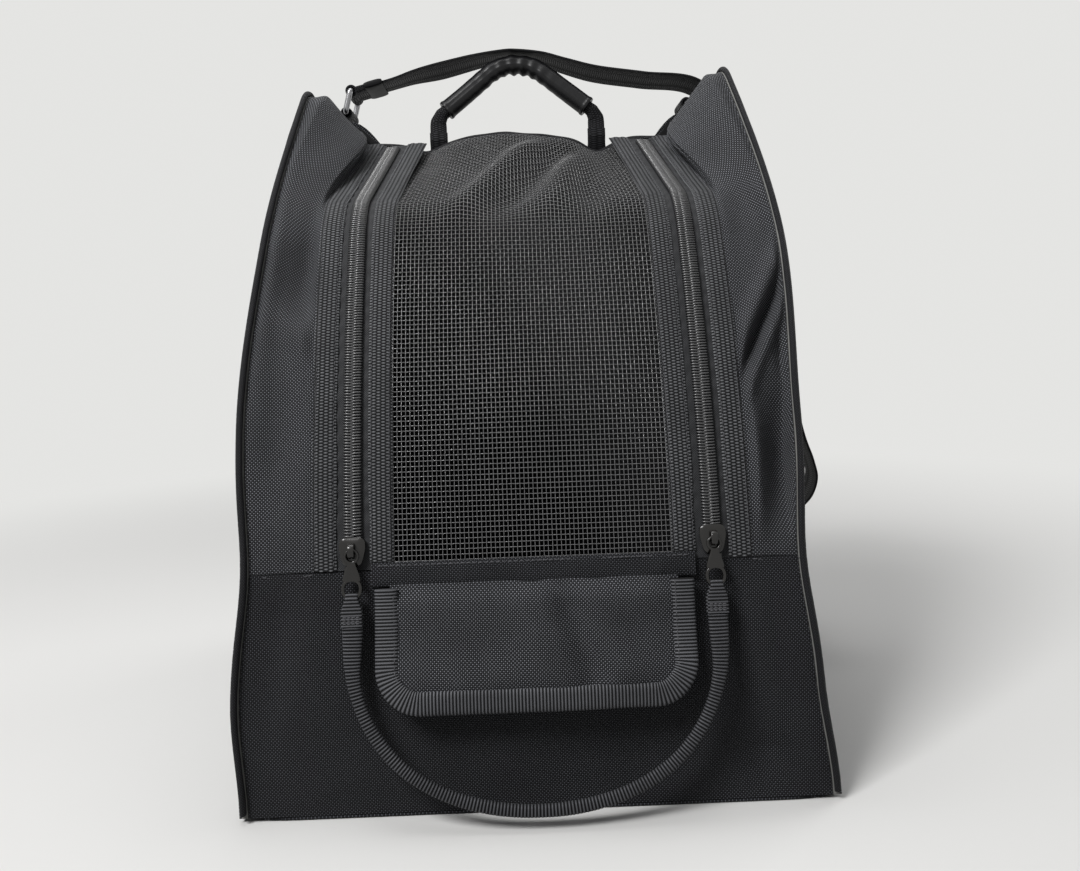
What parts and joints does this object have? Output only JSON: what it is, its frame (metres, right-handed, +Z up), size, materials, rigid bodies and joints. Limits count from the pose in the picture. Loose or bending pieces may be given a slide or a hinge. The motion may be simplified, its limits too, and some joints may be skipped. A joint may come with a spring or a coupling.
{
  "type": "skate bag",
  "caption": "Wedge-shaped fabric skate bag with a net flap between two coil zips, a hand tab, a pull strap, a carry handle and a shoulder strap.",
  "frame": {"origin": "centre of the base, on the surface that the bag stands on", "axes": "+X to the right seen from the front, +Y to the rear, +Z up; the net flap faces -Y"},
  "size_m": [0.3565, 0.3341, 0.4183],
  "materials": {
    "oxford": "matt coated polyester weave",
    "oxford_dark": "matt coated polyester weave",
    "lining": "plain thin lining",
    "foam": "closed-cell foam sheet",
    "board": "smooth stiff sheet",
    "piping": "fabric over cord",
    "grosgrain": "ribbed binding tape",
    "zip_tape": "smooth woven tape",
    "coil": "satin coil",
    "net": "coated mesh with a light sheen",
    "webbing": "ribbed webbing",
    "vinyl": "glossy vinyl",
    "black_metal": "satin black enamel",
    "black_plastic": "moulded, satin"
  },
  "bodies": {
    "bag": {"base_panel": "oxford_dark", "base_board": "board", "left_side_panel": "oxford", "right_side_panel": "oxford", "left_side_foam": "foam", "right_side_foam": "foam", "left_side_lining": "lining", "right_side_lining": "lining", "back_panel": "oxford", "back_foam": "foam", "back_lining": "lining", "front_lower_panel": "oxford_dark", "left_front_gusset": "oxford", "right_front_gusset": "oxford", "left_piping": "piping", "right_piping": "piping", "rear_rim_roll": "piping", "left_outer_binding": "grosgrain", "right_outer_binding": "grosgrain", "left_bag_tape": "zip_tape", "right_bag_tape": "zip_tape", "left_bag_coil": "coil", "right_bag_coil": "coil", "zip_bottom_stops": "black_metal", "zip_top_stops": "black_metal", "left_handle_foot_patch": "webbing", "right_handle_foot_patch": "webbing", "left_ring_anchor": "webbing", "right_ring_anchor": "webbing", "left_strap_ring": "black_metal", "right_strap_ring": "black_metal", "strap_adjuster": "black_plastic", "shoulder_strap": "webbing"},
    "flap": {"flap_net": "net", "left_flap_binding": "grosgrain", "right_flap_binding": "grosgrain", "left_flap_tape": "zip_tape", "right_flap_tape": "zip_tape", "left_flap_coil": "coil", "right_flap_coil": "coil", "flap_hem": "piping", "tab_front": "oxford", "tab_foam": "foam", "tab_back": "oxford", "tab_binding": "grosgrain"},
    "left_slider_body": {"left_slider": "black_metal"},
    "right_slider_body": {"right_slider": "black_metal"},
    "pull_loop": {"left_pull_tab": "black_metal", "right_pull_tab": "black_metal", "pull_strap": "webbing"},
    "handle": {"handle_webbing": "webbing", "handle_grip": "vinyl"}
  },
  "joints": [
    {"name": "flap_lift", "type": "hinge", "parent": "bag", "child": "flap", "pos_m": [0, 0.02918, 0.35884], "axis": [-1, 0, 0], "range_deg": [0, 110]},
    {"name": "left_slider_travel", "type": "hinge", "parent": "bag", "child": "left_slider_body", "pos_m": [0, 0.405, 0.002], "axis": [-1, 0, 0], "range_deg": [0, 16.5]},
    {"name": "right_slider_travel", "type": "hinge", "parent": "bag", "child": "right_slider_body", "pos_m": [0, 0.405, 0.002], "axis": [-1, 0, 0], "range_deg": [0, 16.5]},
    {"name": "pull_swing", "type": "hinge", "parent": "left_slider_body", "child": "pull_loop", "pos_m": [0, -0.14477, 0.13273], "axis": [-1, 0, 0], "range_deg": [0, 150]},
    {"name": "handle_swing", "type": "hinge", "parent": "bag", "child": "handle", "pos_m": [0, 0.03892, 0.3613], "axis": [-1, 0, 0], "range_deg": [0, 110]}
  ],
  "couplings": [
    {"joint": "right_slider_travel", "follows": "left_slider_travel", "ratio": 1}
  ]
}
